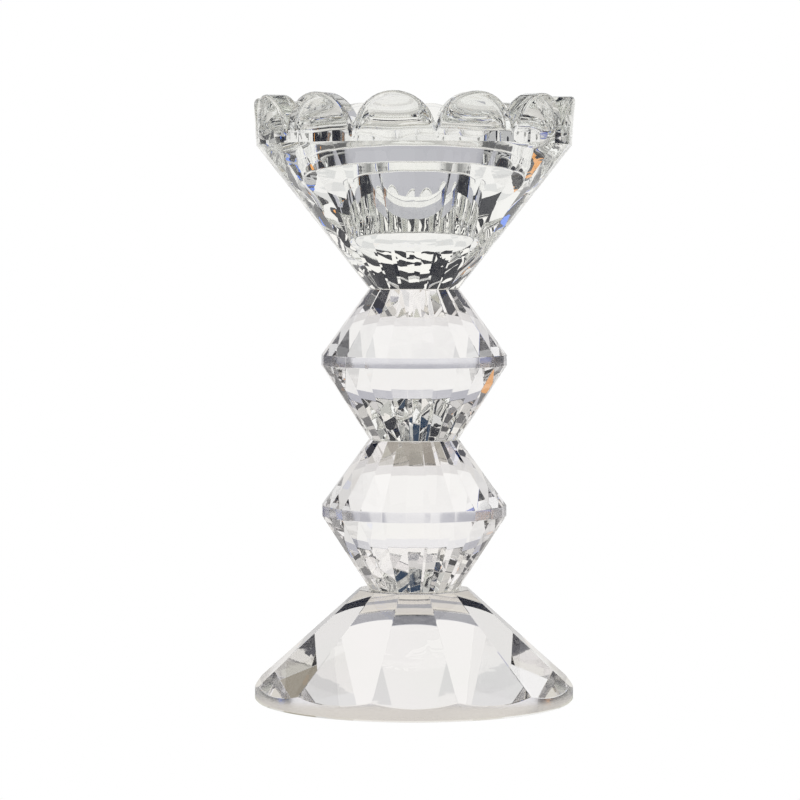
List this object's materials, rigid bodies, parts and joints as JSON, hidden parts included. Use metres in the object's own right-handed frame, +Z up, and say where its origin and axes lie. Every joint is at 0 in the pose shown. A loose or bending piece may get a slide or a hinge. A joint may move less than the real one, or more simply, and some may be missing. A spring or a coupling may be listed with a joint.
{
  "type": "glass candlestick",
  "caption": "Clear crystal candlestick: faceted foot, stacked faceted balls and a petalled cup with a tealight recess and a taper socket.",
  "frame": {"origin": "middle of the flat underside of the foot, on the table", "axes": "+Z up along the common axis of all the pieces; the front, where one foot facet faces the viewer, is towards -Y"},
  "size_m": [0.0796, 0.0796, 0.1502],
  "materials": {
    "cut_crystal": "cut and polished, sharp facet edges",
    "pressed_glass": "pressed and fire-polished, soft edges",
    "clear_adhesive": "clear cured resin"
  },
  "bodies": {
    "root": {"base": "cut_crystal", "lower_ball": "cut_crystal", "upper_ball": "cut_crystal", "candle_cup": "pressed_glass", "base_adhesive": "clear_adhesive", "middle_adhesive": "clear_adhesive", "cup_adhesive": "clear_adhesive"}
  },
  "joints": []
}
